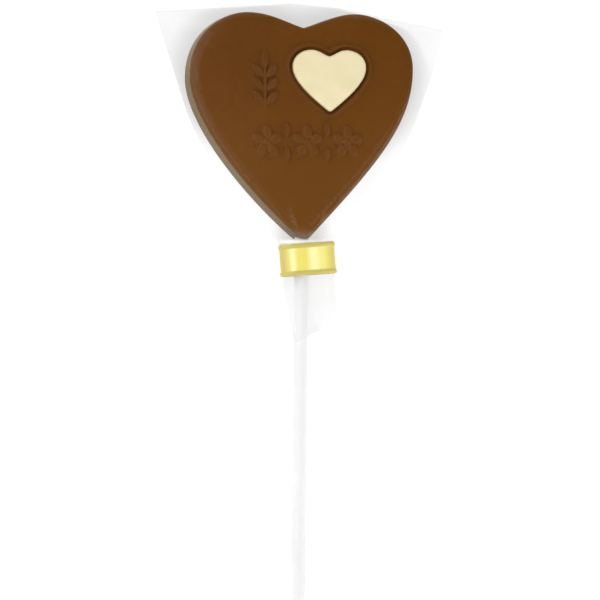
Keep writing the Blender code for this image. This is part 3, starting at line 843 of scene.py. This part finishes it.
def ripple(x, y, corner, seed):
    """Fine uneven wrinkles that run out from a corner of the bag."""
    angle = np.arctan2(y - corner[1], x - corner[0])
    reach = np.hypot(x - corner[0], y - corner[1])
    wave = np.sin(angle * RIPPLE_RAYS + seed) * np.sin(angle * RIPPLE_BREAKS + 2 * seed)
    wave += 0.5 * np.sin(angle * RIPPLE_FINE_RAYS - seed)
    return wave * np.exp(-((reach / RIPPLE_REACH) ** 2)) * np.minimum(1.0, reach / RIPPLE_START)


def food_heights(x, y):
    """The top of the chocolate under each point of the grid, and below zero where there is none."""
    surfaces = [surface_of(piece) for piece in (chocolate_heart, white_heart)]
    top = np.full(x.shape, -1.0)
    for index in np.ndindex(*x.shape):
        start = Vector((x[index], y[index], 1.0))
        for surface in surfaces:
            hit = surface.ray_cast(start, Vector((0.0, 0.0, -1.0)))[0]
            if hit:
                top[index] = max(top[index], hit.z)
    return top


def body_rows():
    """Rows of the bag from just above the band up to its top edge, as front and rear points."""
    x, y, from_neck = body_grid()
    above, below = taut_heights(x, y)
    above = smoothed(above)
    below = smoothed(below)
    room = np.clip((above - below) / OPEN_ROOM, 0.0, 1.0)
    gather = np.exp(-((from_neck / PLEAT_REACH) ** 2)) * np.clip(from_neck / PLEAT_START, 0.0, 1.0)
    front_wave = np.array([pleat_wave(share, FRONT_SEED) for share in column_shares()])
    rear_wave = np.array([pleat_wave(share, REAR_SEED) for share in column_shares()])
    wrinkles = sum(ripple(x, y, corner, seed) for corner, seed in RIPPLE_CORNERS)
    above += PLEAT_DEPTH * gather * room * front_wave + RIPPLE_DEPTH * room * wrinkles
    below += PLEAT_DEPTH * REAR_PLEAT_SHARE * gather * room * rear_wave * (below > REAR_FLAT_Z)
    top = food_heights(x, y)
    above = np.where(top > 0, np.maximum(above, top + FOOD_GAP), above)
    above = np.minimum(above, BAG_HEIGHT)
    below = np.maximum(below, 0.0)
    rows = []
    for row in range(BAG_ROWS + 1):
        front = [Vector(p) for p in zip(x[row], y[row], above[row])]
        rear = [Vector(p) for p in zip(x[row], y[row], below[row])]
        rows.append((front, rear))
    return rows


def sleeve_rows():
    """Rows of the neck inside the band and of the tail below it, as front and rear points."""
    shares = column_shares()
    rows = []
    band_bottom_y = BAND_PLACE.y - BAND_HEIGHT / 2 - NECK_OUTSIDE_BAND
    for row in range(TAIL_ROWS):
        down = 1 - row / TAIL_ROWS
        eased = down * down * (3 - 2 * down)
        middle_y = band_bottom_y + (TAIL_MOUTH_Y - band_bottom_y) * down
        slope = math.tan(BAND_TURN) + (TAIL_MOUTH_SLOPE - math.tan(BAND_TURN)) * down
        neck_left = BAND_PLACE.x + TAIL_SHIFT - NECK_HALF_WIDTH
        stick_x = (middle_y - HEART_TIP.y) * math.sin(STICK_LEAN)
        left = neck_left + (stick_x + TAIL_LEFT_X - neck_left) * eased
        right = neck_left + 2 * NECK_HALF_WIDTH
        right += (TAIL_RIGHT_X - right) * eased
        x = left + (right - left) * shares
        y = middle_y + slope * (x - (left + right) / 2)
        rows.append(sleeve_row(x, y, shares, down))
    for row in range(NECK_ROWS):
        up = row / NECK_ROWS
        middle_y = band_bottom_y + (neck_top_y - band_bottom_y) * up
        middle_x = BAND_PLACE.x - (middle_y - BAND_PLACE.y) * math.sin(BAND_TURN)
        x = middle_x + NECK_HALF_WIDTH * (2 * shares - 1)
        y = middle_y + math.tan(BAND_TURN) * (x - middle_x)
        rows.append(sleeve_row(x, y, shares, 0.0))
    return rows


def sleeve_row(x, y, shares, loose):
    """One row of the neck or tail: an oval, flattened and thrown into pleats as it gets loose."""
    front = []
    rear = []
    for column, share in enumerate(shares):
        across = 2 * share - 1
        oval = (1 - abs(across) ** NECK_SQUARENESS) ** (1 / NECK_SQUARENESS)
        stick_x = (y[column] - HEART_TIP.y) * math.sin(STICK_LEAN)
        over_stick = math.exp(-(((x[column] - stick_x) / STICK_LIFT_REACH) ** 4))
        flat = TAIL_HALF_DEPTH + (NECK_HALF_DEPTH - TAIL_HALF_DEPTH) * over_stick
        depth = oval * (NECK_HALF_DEPTH + (flat - NECK_HALF_DEPTH) * loose)
        front_wave = (NECK_WAVE + TAIL_FRONT_WAVE * loose) * pleat_wave(share, FRONT_SEED) * oval
        rear_wave = (NECK_WAVE + TAIL_REAR_WAVE * loose) * pleat_wave(share, TAIL_REAR_SEED) * oval
        front_z = BAND_PLACE.z + depth + front_wave * (1 - over_stick * loose)
        rear_z = max(TAIL_LOWEST_Z, BAND_PLACE.z - depth + rear_wave)
        front.append(Vector((x[column], y[column], front_z)))
        rear.append(Vector((x[column], y[column], rear_z)))
    return front, rear


def film_mesh():
    """Both sheets as one piece: a loop of points for each row, joined to the row below it."""
    bm = bmesh.new()
    last = None
    for front, rear in sleeve_rows() + body_rows():
        loop = [bm.verts.new(p) for p in front + rear[-2:0:-1]]
        if last:
            join_rings(bm, last, loop)
        last = loop
    bmesh.ops.remove_doubles(bm, verts=last, dist=1e-7)
    return piece_from(bm, "film")


film = film_mesh()


def mirror_share(tree, crinkle):
    """How much the film mirrors: a little where it is faced, and more the flatter it is looked at."""
    facing = add_node(tree, "ShaderNodeLayerWeight", Blend=0.5, Normal=crinkle).outputs["Facing"]
    steep = join_values(tree, "POWER", facing, MIRROR_STEEPNESS)
    at_edge = join_values(tree, "MULTIPLY", steep, MIRROR_AT_EDGE)
    return join_values(tree, "ADD", at_edge, MIRROR_LEAST)


def film_tint(tree, place, parts):
    """What the film lets through at each place, with painted shade round the lobes, the tip and the tail's
    crease.
    """
    tint = blend_colours(tree, spread(tree, parts["Y"], DENSE_TOP_Y, RISING), FILM_CLEAR, FILM_DENSE)
    in_tail = spread(tree, parts["Y"], TAIL_Y, FALLING)
    tail_rear = spread(tree, parts["Z"], TAIL_REAR_Z, FALLING)
    behind_stick = join_values(tree, "MULTIPLY", in_tail, tail_rear)
    tint = blend_colours(tree, behind_stick, tint, FILM_TAIL_REAR)
    # Painted shade: the rear sheet darkened round the lobes and the tip, for the heart's soft shadow and
    # dark reflection.
    rear = spread(tree, parts["Z"], REAR_Z, FALLING)
    for middle, radius, reach in SHADED_ROUND:
        near = spread(tree, distance_from(tree, place, middle), (radius, radius + reach), FALLING)
        tint = blend_colours(tree, join_values(tree, "MULTIPLY", near, rear), tint, FILM_SHADED)
    # Painted shade in the crease at the tail's corner.
    crease_shade = spread(tree, distance_from(tree, place, CREASED_CORNER), CREASE_REACH, (CREASE_SHADE_SHARE, 0.0))
    return blend_colours(tree, crease_shade, tint, FILM_CREASE_PAINTED_SHADE)


def haze_share(tree, along):
    """How milky the film is: thickly in the gathered neck, and faintly in the tail and at the tip."""
    in_tail = spread(tree, along, TAIL_HAZE_Y, (0.0, TAIL_HAZE))
    into_neck = spread(tree, along, NECK_HAZE_Y, (0.0, NECK_HAZE - TAIL_HAZE))
    up_to_tip = spread(tree, along, NECK_CLEAR_Y, FALLING)
    gathered = join_values(tree, "MULTIPLY", join_values(tree, "ADD", in_tail, into_neck), up_to_tip)
    at_tip = spread(tree, along, TIP_CLEAR_Y, (TIP_HAZE, 0.0))
    return join_values(tree, "MAXIMUM", gathered, at_tip)


def film_finish():
    """Clear film with a glossy face, finely crinkled, and with a share of milky haze over both."""
    finish, tree, output, place = new_finish("clear film")
    crinkle = add_bump(tree, blotches(tree, place, scale=190.0, roughness=0.6), CRINKLE_DEPTH, 0.25)
    parts = add_node(tree, "ShaderNodeSeparateXYZ", Vector=place).outputs
    clear = add_node(tree, "ShaderNodeBsdfTransparent", Color=film_tint(tree, place, parts))
    mirror = add_node(tree, "ShaderNodeBsdfPrincipled", Normal=crinkle)
    mirror.inputs["Base Color"].default_value = MIRROR_TINT
    mirror.inputs["Metallic"].default_value = 1.0
    mirror.inputs["Roughness"].default_value = MIRROR_ROUGHNESS
    glossy = add_node(tree, "ShaderNodeMixShader", Fac=mirror_share(tree, crinkle))
    tree.links.new(clear.outputs["BSDF"], glossy.inputs[1])
    tree.links.new(mirror.outputs["BSDF"], glossy.inputs[2])
    haze = add_node(tree, "ShaderNodeBsdfPrincipled", Roughness=HAZE_ROUGHNESS, Normal=crinkle)
    haze.inputs["Base Color"].default_value = HAZE_WHITE
    with_haze = add_node(tree, "ShaderNodeMixShader", Fac=haze_share(tree, parts["Y"]))
    tree.links.new(glossy.outputs["Shader"], with_haze.inputs[1])
    tree.links.new(haze.outputs["BSDF"], with_haze.inputs[2])
    tree.links.new(with_haze.outputs["Shader"], output.inputs["Surface"])
    return finish


film.data.materials.append(film_finish())
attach(film, "root")
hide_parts("film_bag")


# The gold band. It is a strip of gold metallised foil wound round the gathered neck and pressed
# flat, with both edges rolled outward into a narrow rim, and slight upright dents from the pleats.
BAND_ROOM = 0.0003
BAND_INNER = (NECK_HALF_WIDTH + BAND_ROOM, 0.00315)
BAND_SQUARENESS = 3.2
BAND_AROUND = 160
BAND_LEVELS = 26
BAND_WALL = 0.0003
RIM_REACH = 0.0003
RIM_HEIGHT = 0.0015
RIM_FULLNESS = 0.7
DENT_DEPTH = 0.00016
DENT_WAVES = ((1150, 1.3), (410, 0.4))
FOLD_ANGLE = math.radians(50)

# The upright streaks are partly the foil's own uneven tone and partly painted reflection of its folds.
GOLD_DEEP = (0.79, 0.69, 0.14)
GOLD_PALE = (0.85, 0.77, 0.225)
STREAK_STRETCH = (1.0, 0.06, 0.3)
STREAK_CONTRAST = (0.36, 0.62)
GOLD_LIT = (0.95, 0.87, 0.42)
LIT_STRETCHES = ((-0.0054, 0.0016), (0.0016, 0.0028))
# Painted shade: the band is painted darker at both ends, where the foil curves away from the light.
GOLD_LEFT_END_SHADE = (0.58, 0.47, 0.11)
LEFT_END_X = (-0.0084, -0.0050)
GOLD_RIGHT_END_SHADE = (0.68, 0.56, 0.13)
RIGHT_END_X = (0.0042, 0.0080)
GOLD_RIM = (0.53, 0.46, 0.115)
RIM_FROM_MIDDLE = (0.0034, 0.0039)
FOIL_CREASE_DEPTH = 0.00008
FOIL_ROUGHNESS = (0.34, 0.46)
FOIL_METALLIC = 0.05


def band_outline(outward):
    """The band's flattened oval, grown outward, as pairs of x and z."""
    power = 2 / BAND_SQUARENESS
    points = []
    for step in range(BAND_AROUND):
        c = math.cos(math.tau * step / BAND_AROUND)
        s = math.sin(math.tau * step / BAND_AROUND)
        x = (BAND_INNER[0] + outward) * math.copysign(abs(c) ** power, c)
        z = (BAND_INNER[1] + outward) * math.copysign(abs(s) ** power, s)
        points.append((x, z))
    return points


def band_bulge(along):
    """How far the foil stands out at a height along the band: rolled rims at both its edges."""
    from_edge = BAND_HEIGHT / 2 - abs(along)
    if from_edge > RIM_HEIGHT:
        return 0.0
    return RIM_REACH * math.sin(math.pi * from_edge / RIM_HEIGHT) ** RIM_FULLNESS


def band_dent(x):
    """How deep the foil is dented at a place across the band, unevenly from place to place."""
    waves = math.prod(math.sin(turns * x + shift) for turns, shift in DENT_WAVES)
    return DENT_DEPTH * (0.5 + 0.5 * waves)


def band_mesh():
    """The foil as closed rings: up its outer face with both rims, and back down its inner face."""
    bm = bmesh.new()
    profile = []
    for level in range(BAND_LEVELS + 1):
        along = BAND_HEIGHT * (level / BAND_LEVELS - 0.5)
        profile.append((along, BAND_WALL + band_bulge(along)))
    profile += [(along, 0.0) for along in (BAND_HEIGHT / 2, -BAND_HEIGHT / 2)]
    rings = []
    for along, outward in profile:
        ring = []
        for x, z in band_outline(outward):
            inward = band_dent(x) if outward > 0 else 0.0
            ring.append(bm.verts.new((x, along, z - math.copysign(inward, z))))
        rings.append(ring)
    for lower, upper in zip(rings, rings[1:] + rings[:1]):
        join_rings(bm, lower, upper)
    band_matrix = Matrix.Translation(BAND_PLACE) @ Matrix.Rotation(BAND_TURN, 4, "Z")
    bmesh.ops.transform(bm, matrix=band_matrix, verts=bm.verts)
    band = piece_from(bm, "foil_band")
    band.data.set_sharp_from_angle(angle=FOLD_ANGLE)
    return band


foil_band = band_mesh()


def gold_foil_finish():
    """Pale gold with upright streaks that are partly painted reflection, painted highlights along its
    front, painted shade at both ends, and deeper on its rims.
    """
    finish, tree, output, place = new_finish("gold foil")
    turned = add_node(tree, "ShaderNodeMapping", {"vector_type": "TEXTURE"}, Vector=place)
    turned.inputs["Location"].default_value = BAND_PLACE
    turned.inputs["Rotation"].default_value = (0.0, 0.0, BAND_TURN)
    on_band = turned.outputs["Vector"]
    # Upright streaks: the foil's uneven tone together with painted reflection of its folds.
    stretched = add_node(tree, "ShaderNodeMapping", Vector=on_band, Scale=STREAK_STRETCH).outputs["Vector"]
    streaks_and_reflection = spread(tree, blotches(tree, stretched, scale=330.0, detail=2.0), STREAK_CONTRAST, RISING)
    colour = blend_colours(tree, streaks_and_reflection, GOLD_DEEP, GOLD_PALE)
    parts = add_node(tree, "ShaderNodeSeparateXYZ", Vector=on_band).outputs
    for middle_x, half_width in LIT_STRETCHES:
        left_of = spread(tree, parts["X"], (middle_x - half_width, middle_x), RISING)
        right_of = spread(tree, parts["X"], (middle_x, middle_x + half_width), FALLING)
        colour = blend_colours(tree, join_values(tree, "MULTIPLY", left_of, right_of), colour, GOLD_LIT)
    # Painted shade at the band's curved ends.
    left_end_shade = spread(tree, parts["X"], LEFT_END_X, FALLING)
    colour = blend_colours(tree, left_end_shade, colour, GOLD_LEFT_END_SHADE)
    right_end_shade = spread(tree, parts["X"], RIGHT_END_X, RISING)
    colour = blend_colours(tree, right_end_shade, colour, GOLD_RIGHT_END_SHADE)
    from_middle = add_node(tree, "ShaderNodeMath", {"operation": "ABSOLUTE"})
    tree.links.new(parts["Y"], from_middle.inputs[0])
    rim = spread(tree, from_middle.outputs[0], RIM_FROM_MIDDLE, RISING)
    colour = blend_colours(tree, rim, colour, GOLD_RIM)
    creases = add_bump(tree, blotches(tree, place, scale=700.0), FOIL_CREASE_DEPTH, 0.5)
    gloss = spread(tree, blotches(tree, place, scale=500.0), SOFT_CONTRAST, FOIL_ROUGHNESS)
    shader = surface_shader(tree, output, colour, gloss, creases)
    shader.inputs["Metallic"].default_value = FOIL_METALLIC
    return finish


foil_band.data.materials.append(gold_foil_finish())
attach(foil_band, "root")
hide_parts("gold_band")


# The table and the light. The lollipop lies on a pale, glowing table under soft panels: one high on
# its left, one on its right, one in front and one behind. The surround is pale low down and dark
# overhead, so that the chocolate's face keeps its depth of colour.
TABLE_SIZE = 6.0
TABLE_DIM = (0.20, 0.20, 0.20)
TABLE_BRIGHT = (0.22, 0.22, 0.22)
TABLE_ROUGHNESS = 0.8
TABLE_GLOW = 0.82
LIT_PLACE = Vector((0.0, 0.03, 0.0))
SURROUND_FADE = (0.35, 0.70)
SURROUND_STRENGTH = (0.85, 0.01)

bpy.ops.mesh.primitive_plane_add(size=TABLE_SIZE)
table = bpy.context.object
table.name = "table"
table_finish, tree, output, place = new_finish("pale table")
table_tone = spread(tree, blotches(tree, place, scale=3.0), SOFT_CONTRAST, RISING)
table_colour = blend_colours(tree, table_tone, TABLE_DIM, TABLE_BRIGHT)
shader = add_node(tree, "ShaderNodeBsdfPrincipled", Base_Color=table_colour, Roughness=TABLE_ROUGHNESS)
shader.inputs["Emission Color"].default_value = (1.0, 1.0, 1.0, 1.0)
shader.inputs["Emission Strength"].default_value = TABLE_GLOW
tree.links.new(shader.outputs["BSDF"], output.inputs["Surface"])
table.data.materials.append(table_finish)


def add_panel(name, place, size, watts):
    """A soft light panel, turned to face the lower part of the heart."""
    light = bpy.data.lights.new(name, "AREA")
    light.shape = "RECTANGLE"
    light.size = size[0]
    light.size_y = size[1]
    light.energy = watts
    panel = bpy.data.objects.new(name, light)
    panel.location = place
    panel.rotation_euler = (LIT_PLACE - Vector(place)).to_track_quat("-Z", "Y").to_euler()
    bpy.context.scene.collection.objects.link(panel)


add_panel("key_panel", place=(-0.48, 0.10, 0.74), size=(0.9, 0.9), watts=5.6)
add_panel("side_panel", place=(0.66, -0.35, 0.56), size=(0.7, 0.7), watts=4.7)
add_panel("front_panel", place=(-0.15, -0.85, 0.55), size=(0.9, 0.6), watts=2.4)
add_panel("back_panel", place=(-0.40, 0.80, 0.55), size=(0.60, 0.30), watts=2.6)

world = bpy.data.worlds.new("surround")
world.use_nodes = True
bpy.context.scene.world = world
tree = world.node_tree
tree.nodes.clear()
direction = tree.nodes.new("ShaderNodeTexCoord").outputs["Generated"]
upward = add_node(tree, "ShaderNodeSeparateXYZ", Vector=direction).outputs["Z"]
brightness = spread(tree, upward, SURROUND_FADE, SURROUND_STRENGTH)
background = add_node(tree, "ShaderNodeBackground", Color=(1.0, 1.0, 1.0, 1.0), Strength=brightness)
surround_output = tree.nodes.new("ShaderNodeOutputWorld")
tree.links.new(background.outputs["Background"], surround_output.inputs["Surface"])

bpy.context.scene.view_settings.view_transform = "Standard"


# The camera. It stands well above the lollipop and looks almost straight down on its face, from a
# little to its left and a little below it.
CAMERA_TARGET = Vector((-0.0001, 0.0006, 0.0020))
CAMERA_DISTANCE = 0.65
CAMERA_LEFT = math.radians(11)
CAMERA_BELOW = math.radians(1.5)
FRAME_WIDTH = 0.195
SENSOR_WIDTH = 36.0

towards_camera = Vector((-math.sin(CAMERA_LEFT), -math.sin(CAMERA_BELOW), math.cos(CAMERA_LEFT)))
towards_camera.normalize()
camera_right = Vector((0.0, 1.0, 0.0)).cross(towards_camera).normalized()
camera_up = towards_camera.cross(camera_right)
camera_axes = Matrix((camera_right, camera_up, towards_camera)).transposed().to_4x4()
camera_data = bpy.data.cameras.new("camera")
camera_data.sensor_width = SENSOR_WIDTH
camera_data.lens = SENSOR_WIDTH * CAMERA_DISTANCE / FRAME_WIDTH
camera_data.clip_start = 0.05
camera = bpy.data.objects.new("camera", camera_data)
camera.matrix_world = Matrix.Translation(CAMERA_TARGET + towards_camera * CAMERA_DISTANCE) @ camera_axes
bpy.context.scene.collection.objects.link(camera)
bpy.context.scene.camera = camera
